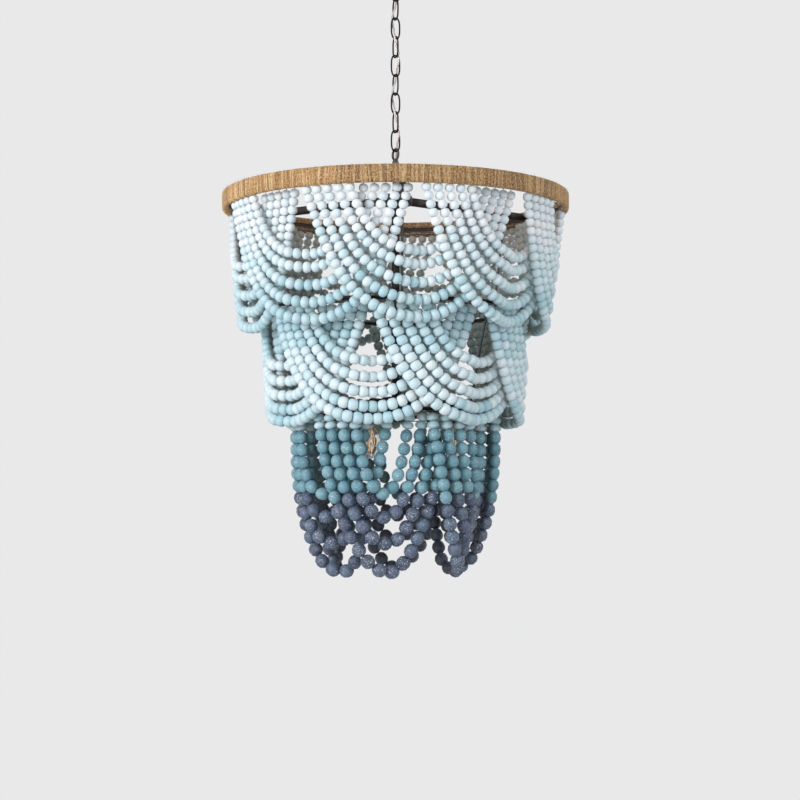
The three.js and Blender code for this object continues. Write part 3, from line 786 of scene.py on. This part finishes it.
def addFrame():
    bm = bmesh.new()
    for bearing in arms["bearings"]:
        addArm(bm, bearing)
    top, low, wide = hub["top"], hub["bottom"], hub["radius"]
    rows = [(0, low), (wide - 1, low), (wide, low + 1), (wide, top - 3), (wide - 0.8, top - 1.2)]
    lathe(bm, rows + [(wide - 2.6, top - 0.2), (wide - 4, top), (0, top)], 72)
    finishPiece("spider_frame", bm, "bronze", "fixture", ["frame_spider"], 30)

    bm = bmesh.new()
    eyeRing(bm, eye["bottom"], chain["crosswise"])
    neck = eye["bottom"] - eye["radius"]
    foot = top + hub["gap"]
    rows = [(0, foot), (8, foot), (8.6, top + 1), (8.6, top + 4), (7.4, top + 5.5), (5, top + 6)]
    rows += [(5, neck - 9), (5.6, neck - 8), (5.6, neck - 5), (4.6, neck - 1)]
    rows += [(2.6, neck + 1), (0, neck + 1)]
    lathe(bm, rows, 40)
    finishPiece("stem_eye", bm, "stem", "fixture", ["stem_loop"])

    for name, radius, ties in rings["places"]:
        bm = bmesh.new()
        height = ties + rings["wire"] / 2 + rings["above"]
        bearings = [360 * i / rings["points"] for i in range(rings["points"])]
        circle = [atBearing(radius, bearing, height) for bearing in bearings]
        sweep(bm, circle, rings["wire"] / 2, rings["sides"], closed=True)
        finishPiece(f"{name}_ring_wire", bm, "bronze", "fixture", [f"{name}_bead_ring"], 0)

    middle, lower = (radius for name, radius, ties in rings["places"])
    clear = (rings["wire"] + strut["wire"]) / 2 + strut["gap"]
    for i, bearing in enumerate(arms["bearings"]):
        rows = [(strut["topRadius"], strut["top"]), (middle - clear + 1.5, -152), (middle - clear, -172)]
        rows += [(middle - 23, -181), (middle - 25, -189), (lower - clear, -336), (lower - clear, -346)]
        bm = bmesh.new()
        route = smoothRoute([atBearing(r, bearing, z) for r, z in rows], 2)
        sweep(bm, route, strut["wire"] / 2, strut["sides"])
        finishPiece(f"strut_rod_{i + 1}", bm, "wire", "fixture", [f"frame_strut_{i + 1}"])


addJute()
addFrame()
print("band and frame made")


# Lamps.

lamps = dict(bearings=(-25, 95, 215), circle=94.0, top=-334.0, bottom=-366.0, radius=12.0)
cup = dict(top=-318.0, bottom=-346.0, radius=26.0, gap=0.3)
cupArm = dict(height=-327.0, radius=3.5, sides=14)
column = dict(radius=6.5, top=-1.3)
bulb = dict(wall=1.1, threads=7, pitch=2.1)
filament = dict(
    wires=4,
    turned=0.4,  # in radians, from +X
    near=2.2,  # off the bulb's middle, at the ends of a wire
    bow=4.6,
    top=10.0,
    length=34.0,
    radius=0.38,
    points=9,
    sides=8,
)


def addCluster():
    bm = bmesh.new()
    foot, wide = cup["top"] + cup["gap"], column["radius"]
    lathe(bm, [(0, foot), (wide, foot), (wide, column["top"]), (0, column["top"])], 40)
    finishPiece("column_tube", bm, "bronze", "fixture", ["lamp_column"])
    bm = bmesh.new()
    top, low, wide = cup["top"], cup["bottom"], cup["radius"]
    rows = [(0, low), (wide - 9, low), (wide - 6.5, low + 0.8), (wide - 1, low + 5), (wide, low + 7)]
    rows += [(wide, top - 5), (wide - 1, top - 3), (wide - 6, top - 0.2), (0, top)]
    lathe(bm, rows, 56)
    for bearing in lamps["bearings"]:
        run = [(cup["radius"] - 5, cupArm["height"]), (lamps["circle"] - 12, cupArm["height"])]
        run += [(lamps["circle"], cupArm["height"] - 0.5), (lamps["circle"], lamps["top"] + cup["gap"])]
        route = smoothRoute([atBearing(r, bearing, z) for r, z in run], 3)
        sweep(bm, route, cupArm["radius"], cupArm["sides"])
    finishPiece("cluster_body", bm, "bronze", "fixture", ["lamp_cluster"])
    bm = bmesh.new()
    base = low - cup["gap"]
    rows = [(0, -14), (1.0, -13.8), (1.7, -13), (3.8, -11.6), (5.2, -8.2), (4.0, -4.9)]
    rows += [(2.4, -3.6), (2.4, -3), (5.2, -2.2), (7, -1.4), (7, 0), (0, 0)]
    lathe(bm, [(r, z + base) for r, z in rows], 32)
    finishPiece("finial_knob", bm, "bronze", "fixture", ["cluster_finial"])


def addLamp(number, bearing):
    spot = atBearing(lamps["circle"], bearing, bandDrop)
    place = (spot.x, spot.y)
    low, top, wide = lamps["bottom"], lamps["top"], lamps["radius"]
    bm = bmesh.new()
    rows = [(6.6, low), (wide - 0.6, low), (wide, low + 0.7), (wide, low + 2.4), (wide - 0.7, low + 3.2)]
    rows += [(wide - 0.7, top - 6), (wide - 1.6, top - 3), (wide - 4, top - 0.6), (wide - 6, top), (0, top)]
    rows += [(0, low + 21.5), (6.6, low + 21.5)]
    lathe(bm, rows, 40, place)
    finishPiece(f"socket_shell_{number}", bm, "socket", "fixture", [f"socket_{number}"])

    bm = bmesh.new()
    rows = [(0, 0.2), (5.6, 0.2)]
    for i in range(bulb["threads"]):
        rows += [(6.0, 1.4 + i * bulb["pitch"]), (5.4, 2.4 + i * bulb["pitch"])]
    rows += [(5.2, 17), (3, 19), (2.6, 20), (0, 20)]
    lathe(bm, [(r, z + low) for r, z in rows], 32, place)
    body = f"bulb_{number}"
    finishPiece(f"bulb_screw_{number}", bm, "brass", body, [f"bulb_base_{number}"], 70)

    bm = bmesh.new()
    outside = [(0, -56), (1.4, -55.8), (3.4, -54.8), (6.4, -52.4), (10.8, -47.4), (14, -41.8), (16, -36)]
    outside += [(17.1, -29), (16.9, -24), (15.4, -17.6), (13.1, -12.8), (10.6, -8.7), (8.4, -5), (7, -2)]
    outside += [(6.5, -0.5)]
    lathe(bm, [(r * 0.995, z + low) for r, z in outside], 48, place)
    mergePoints(bm)
    bmesh.ops.solidify(bm, geom=bm.faces[:], thickness=bulb["wall"] * mm)
    finishPiece(f"bulb_shell_{number}", bm, "glass", body, [f"bulb_glass_{number}"], 0)

    bm = bmesh.new()
    centre = Vector((place[0], place[1], 0))
    for side in range(filament["wires"]):
        angle = math.tau * side / filament["wires"] + filament["turned"]
        across = Vector((math.cos(angle), math.sin(angle), 0))
        points = []
        for i in range(filament["points"]):
            share = i / (filament["points"] - 1)
            reach = filament["near"] + filament["bow"] * math.sin(math.pi * share)
            height = low - bandDrop - filament["top"] - filament["length"] * share
            points.append(centre + across * (reach * mm) + Vector((0, 0, height * mm)))
        sweep(bm, points, filament["radius"], filament["sides"])
    finishPiece(f"filament_{number}", bm, "filament", body, (), 0)
    bm = bmesh.new()
    rows = [(0, -1), (4.2, -1), (3.4, -5), (1.5, -9), (1.2, -12), (1.2, -40), (0.9, -46), (0, -46)]
    lathe(bm, [(r, z + low) for r, z in rows], 16, place)
    finishPiece(f"bulb_stem_{number}", bm, "glass", body, (), 0)


addCluster()
for number, bearing in enumerate(lamps["bearings"], 1):
    addLamp(number, bearing)
print("lamps made")


# Bead swags.

shade = dict(depth=603.0, bead=10.0, radius=263.4, taper=39.0)
palettes = dict(
    frost=inks("e5ebf1 dae6ed ebeff3 d4e2ea dfe9ef"),
    pale=inks("d2e4eb c3dce5 dce9ef cbe0e7 d6e5ea"),
    ice=inks("b9d6df abced9 c5dce4 a2c8d3 bed8df"),
    teal=inks("6494a4 578899 719eac 4f8091 6294a0"),
    navy=inks("3b4964 404f6b 333f59 465b74 4b5974"),
)
thread = dict(radius=0.65, sides=4, ink=ink("3a2c25"))
tieWire = dict(radius=0.95, sides=6, points=25, turnsAt=0.47, turnsIn=0.06, rise=1.3)
# Bearings are in degrees, shares run down the shade, and a swag's rows go from its highest
# strand to its lowest.
tiers = [
    dict(
        name="upper",
        finish="upperBeads",
        ring=0.0265,  # share of the depth at which the strands start
        middles=[7.4, 46.9, 85.9, 125, 164, 203, 244, 285.8, 327.4],
        left=[21.9, 25.7, 29.5, 33.3, 37.1],  # from a swag's middle to its ties, row by row
        right=[21.9, 25.7, 29.5, 33.3, 37.1],
        lows=[0.1841, 0.2172, 0.262, 0.3051, 0.3483],  # share of the depth that each row sags to
        inset=0.0,  # of this tier's drum from the upper one's
        tapers=[(0.0265, 0), (0.1841, 0.267), (0.3483, 0.6)],  # share of the taper
        # radius as a share of the standard bead's
        beads=[(0.0265, 0.77), (0.0995, 0.795), (0.1824, 0.86), (0.2653, 0.93), (0.3483, 0.95)],
        pitches=[(0.0265, 12.9), (0.1824, 13.6), (0.3483, 14.5)],  # from bead to bead
        swaps=[6, 8, 10, 11, 12],  # how far from its middle a row starts to change lanes
        sharpness=3.0,  # of the sag's curve
        tuck=0.6,  # how far a row draws in while it changes lanes, as a share of a bead's radius
        slack=0.66,  # what each lane adds to its bead's radius
        inks=[(0.0265, "frost"), (0.15, "pale"), (0.25, "ice")],
        shape=2.5,  # 2 is a ball, more is nearer a barrel
        swell=1.0,  # scales the beads' width
        start=(-0.31, -0.42),  # room left bare at the left and right ends, in beads
        lanes=(4, -4),  # of the tie wire, out from the drum, at its left and right ties
        tie=-8.5,  # height of the tie wire
        aside={},  # for a swag and row, how far its right end hangs aside
    ),
    dict(
        name="middle",
        finish="middleBeads",
        ring=0.3018,
        middles=[-11, 40.4, 91.9, 143.3, 194.7, 246.1, 297.6],
        left=[28.1, 33.3, 38.5, 43.7, 48.9],
        right=[28.1, 33.3, 38.5, 43.7, 48.9],
        lows=[0.4527, 0.4934, 0.5323, 0.5688, 0.6003],
        inset=57.4,
        tapers=[(0.3018, 0), (0.4527, 0.128), (0.6003, 0.295)],
        beads=[(0.3018, 0.8), (0.398, 0.85), (0.4975, 0.88), (0.6003, 0.92)],
        pitches=[(0.3018, 13.6), (0.4527, 15), (0.6003, 15.8)],
        swaps=[6, 8, 10, 11, 12],
        sharpness=3.0,
        tuck=0.8,
        slack=0.66,
        inks=[(0.3018, "ice"), (0.42, "pale"), (0.56, "ice")],
        shape=3.2,
        swell=1.05,
        start=(0.12, 0.12),
        lanes=(4, 0),
        tie=-182.0,
        aside={},
    ),
    dict(
        name="lower",
        finish="lowerBeads",
        ring=0.5804,
        middles=[-54, -8.5, 59, 118, 178, 240],
        left=[14.6, 22.6, 30.8, 39.2],
        right=[17.4, 26.4, 35.8, 45],
        lows=[0.7927, 0.8541, 0.9237, 1],
        inset=109.4,
        tapers=[(0.5804, 0), (0.7131, 0.05), (0.7927, 0.18), (0.8541, 0.36), (0.9237, 0.667), (1, 1)],
        beads=[(0.5804, 1), (0.6633, 1.02), (0.7463, 1.04), (0.8126, 1.07), (0.8624, 1.15), (1, 1.18)],
        pitches=[(0.5804, 12.2), (0.6202, 12.2), (0.6302, 20), (0.7794, 20.4), (0.8126, 22.6), (1, 23.6)],
        swaps=[8, 10, 12, 14],
        sharpness=2.3,
        tuck=0,
        slack=1.1,
        inks=[(0.5804, "ice"), (0.6285, "teal"), (0.8027, "navy")],
        shape=2.2,
        swell=1.0,
        start=(0.12, 0.12),
        lanes=(4, 0),
        tie=-350.0,
        aside={(0, 3): 5.0},
    ),
]


def depthShare(place):
    return -(place.z / mm + bandDrop) / shade["depth"]


def strandPoint(tier, k, row, share):
    middle = tier["middles"][k]
    bearing = middle + between(-tier["left"][row], tier["right"][row], share)
    bearing += tier["aside"].get((k, row), 0.0) * max(0.0, 2 * share - 1) ** 1.5
    deep = math.cosh(tier["sharpness"])
    sag = (deep - math.cosh(tier["sharpness"] * (1 - 2 * share))) / (deep - 1)
    down = between(tier["ring"], tier["lows"][row], sag)
    bead = fromTable(tier["beads"], down) * shade["bead"]
    side = max(-1.0, min(1.0, (middle - bearing) / tier["swaps"][row]))
    swing = math.sin(side * math.pi / 2)
    outward = swing * (bead + tier["slack"])
    inward = (1 - swing * swing) * tier["tuck"] * shade["bead"]
    drum = shade["radius"] - tier["inset"] - fromTable(tier["tapers"], down) * shade["taper"]
    return atBearing(drum + outward - inward, bearing, -down * shade["depth"])


def strandRoute(tier, k, row, steps=260):
    return [strandPoint(tier, k, row, i / steps) for i in range(steps + 1)]


def beadSpots(tier, route):
    # where each bead sits on its thread: place, direction, the room along the thread and the depth
    load = [0.0]
    for a, b in zip(route, route[1:]):
        load.append(load[-1] + (b - a).length / mm / fromTable(tier["pitches"], depthShare(a.lerp(b, 0.5))))
    start, end = tier["start"]
    count = int(load[-1] - start - end)
    stretch = (load[-1] - start - end) / count
    spots = []
    seek = 0
    for i in range(count):
        wanted = start + (i + 0.5) * stretch
        while load[seek + 1] < wanted:
            seek += 1
        share = (wanted - load[seek]) / (load[seek + 1] - load[seek])
        place = route[seek].lerp(route[seek + 1], share)
        along = (route[seek + 1] - route[seek]).normalized()
        down = depthShare(place)
        spots.append((place, along, fromTable(tier["pitches"], down) * stretch, down))
    return spots


def beadBlank(power, segments=12, bands=6):
    # one bead, one unit in radius and half length, flattened round its hole
    bm = bmesh.new()
    rows = []
    for i in range(bands + 1):
        height = math.sin(math.pi * (i / bands - 0.5))
        height = math.copysign(abs(height) ** 0.9, height)
        radius = max(1 - abs(height * 0.985) ** power, 0.0) ** (1 / power)
        rows.append((max(radius, 0.3) / mm, height / mm + bandDrop))
    lathe(bm, [(0, rows[0][1])] + rows + [(0, rows[-1][1])], segments)
    mergePoints(bm, 1e-4)
    bm.verts.layers.float_color.new("wash")
    bm.verts.layers.float.new("inside")
    return meshFrom(bm, "bead_blank")


def beadInk(tier, down, draw):
    stray = 0.0 if tier["name"] == "lower" else draw.uniform(-0.03, 0.03)
    reached = [palette for top, palette in tier["inks"] if top <= down + stray]
    name = reached[-1] if reached else tier["inks"][0][1]
    return blendInk(*draw.sample(palettes[name], 2), draw.random())


def tieRoute(tier, k):
    # the wire that a swag's threads are tied to, from its left ties to its right ties
    middle = tier["middles"][k]
    first, last = middle - tier["left"][-1], middle + tier["right"][-1]
    ring = shade["radius"] - tier["inset"]
    outer, inner = tier["lanes"]
    points = []
    for i in range(tieWire["points"]):
        share = i / (tieWire["points"] - 1)
        turned = max(0.0, min(1.0, (share - tieWire["turnsAt"]) / tieWire["turnsIn"]))
        radius = between(ring + outer, ring + inner, turned)
        height = tier["tie"] + between(-tieWire["rise"], tieWire["rise"], turned)
        points.append(atBearing(radius, between(first, last, share), height))
    return points


def tied(tier, route):
    # a thread's route, led up at both ends to the tie wire
    ends = [Vector((end.x, end.y, (tier["tie"] - bandDrop) * mm)) for end in (route[0], route[-1])]
    lead = [ends[0]] if ends[0].z > route[0].z + mm else []
    tail = [ends[1]] if lead else []
    return lead + route[::10] + tail


def addBead(bm, blank, tier, spot, draw):
    place, along, room, down = spot
    tilt = Vector([draw.gauss(0, 0.045) for _ in range(3)])
    turn = (along + tilt).to_track_quat("Z", "Y").to_matrix().to_4x4()
    roll = Matrix.Rotation(draw.uniform(0, math.tau), 4, "Z")
    wide = fromTable(tier["beads"], down) * shade["bead"] * tier["swell"] * draw.uniform(0.955, 1.0) * mm
    deep = room / 2 * draw.uniform(0.95, 1.0) * mm
    size = Matrix.Diagonal((wide, wide * draw.uniform(0.97, 1.0), deep, 1))
    bead = blank.copy()
    bead.transform(Matrix.Translation(place) @ turn @ roll @ size)
    colour = (*beadInk(tier, down, draw), draw.uniform(0.3, 1.0))
    wash = bead.attributes["wash"].data
    wash.foreach_set("color", colour * len(wash))
    # inside: how far each point of the bead faces the middle, for the painted shade on that side
    inward = Vector((-place.x, -place.y, 0)).normalized() / wide
    facing = [(vert.co - place).dot(inward) for vert in bead.vertices]
    bead.attributes["inside"].data.foreach_set("value", facing)
    bm.from_mesh(bead)
    bpy.data.meshes.remove(bead)


def addSwag(tier, k, blank):
    draw = random.Random(f"{tier['name']} {k}")
    name = f"{tier['name']}_swag_{k + 1}"
    whole = bmesh.new()
    wash = whole.verts.layers.float_color.new("wash")
    routes = [strandRoute(tier, k, row) for row in range(len(tier["lows"]))]
    for route in routes:
        sweep(whole, tied(tier, route), thread["radius"], thread["sides"])
    sweep(whole, tieRoute(tier, k), tieWire["radius"], tieWire["sides"])
    for vert in whole.verts:
        vert[wash] = (*thread["ink"], 0)
    bmesh.ops.recalc_face_normals(whole, faces=whole.faces[:])
    for route in routes:
        strand = bmesh.new()
        for spot in beadSpots(tier, route):
            addBead(strand, blank, tier, spot, draw)
        joined = meshFrom(strand, "strand")
        whole.from_mesh(joined)
        bpy.data.meshes.remove(joined)
    mesh = meshFrom(whole, name + "_beads")
    setPiece(name + "_beads", mesh, tier["finish"], "fixture", [name])


for tier in tiers:
    blank = beadBlank(tier["shape"])
    for k in range(len(tier["middles"])):
        addSwag(tier, k, blank)
    bpy.data.meshes.remove(blank)
    print(tier["name"], "swags strung")


# Floor, light and backdrop.

# places and sizes in metres, power in watts
studio = dict(floor=-1.78, reach=1.35, wall=ink("e9e9ea"), world=0.26, aim=-0.72)
lights = [
    # name, place, size, power
    ("key", (-2.5, -2.1, -0.1), 1.9, 84.0),
    ("front", (0.3, -3.2, -0.5), 2.2, 27.0),
    ("right", (2.4, -1.2, 0.1), 1.6, 22.0),
    ("back", (-0.9, 2.8, 0.2), 2.2, 22.0),
]


def addWorld():
    # the camera, gloss and glass see the pale wall, and all else is lit by a dimmer white
    world = bpy.data.worlds.new("studio")
    bpy.context.scene.world = world
    world.use_nodes = True
    tree = world.node_tree
    tree.nodes.clear()
    rays = tree.nodes.new("ShaderNodeLightPath")
    seen = tree.nodes.new("ShaderNodeMath")
    seen.operation = "MAXIMUM"
    tree.links.new(rays.outputs["Is Camera Ray"], seen.inputs[0])
    through = tree.nodes.new("ShaderNodeMath")
    through.operation = "MAXIMUM"
    tree.links.new(rays.outputs["Is Glossy Ray"], through.inputs[0])
    tree.links.new(rays.outputs["Is Transmission Ray"], through.inputs[1])
    tree.links.new(through.outputs[0], seen.inputs[1])
    plain = tree.nodes.new("ShaderNodeBackground")
    plain.inputs["Color"].default_value = (1, 1, 1, 1)
    plain.inputs["Strength"].default_value = studio["world"]
    shown = tree.nodes.new("ShaderNodeBackground")
    shown.inputs["Color"].default_value = (*studio["wall"], 1)
    mixed = tree.nodes.new("ShaderNodeMixShader")
    out = tree.nodes.new("ShaderNodeOutputWorld")
    tree.links.new(seen.outputs[0], mixed.inputs[0])
    tree.links.new(plain.outputs[0], mixed.inputs[1])
    tree.links.new(shown.outputs[0], mixed.inputs[2])
    tree.links.new(mixed.outputs[0], out.inputs[0])


def addFloor():
    pale = Finish("pale_floor")
    grain = pale.noise(6.0, 2.0)
    pale.surface(Base_Color=pale.mix(grain, ink("e6e6e7"), ink("ececed")), Roughness=0.9)
    bm = bmesh.new()
    place = Matrix.Translation((0, 0, studio["floor"]))
    bmesh.ops.create_circle(bm, segments=96, radius=studio["reach"], cap_ends=True, matrix=place)
    mesh = meshFrom(bm, "floor")
    mesh.materials.append(pale.material)
    floor = bpy.data.objects.new("floor", mesh)
    bpy.context.collection.objects.link(floor)


def addLights():
    aim = Vector((0, 0, studio["aim"]))
    for name, place, size, power in lights:
        data = bpy.data.lights.new(name, "AREA")
        data.shape = "DISK"
        data.size = size
        data.energy = power
        lamp = bpy.data.objects.new(name, data)
        lamp.location = place
        lamp.rotation_euler = (aim - Vector(place)).to_track_quat("-Z", "Y").to_euler()
        bpy.context.collection.objects.link(lamp)


addWorld()
addFloor()
addLights()
print("studio lit")
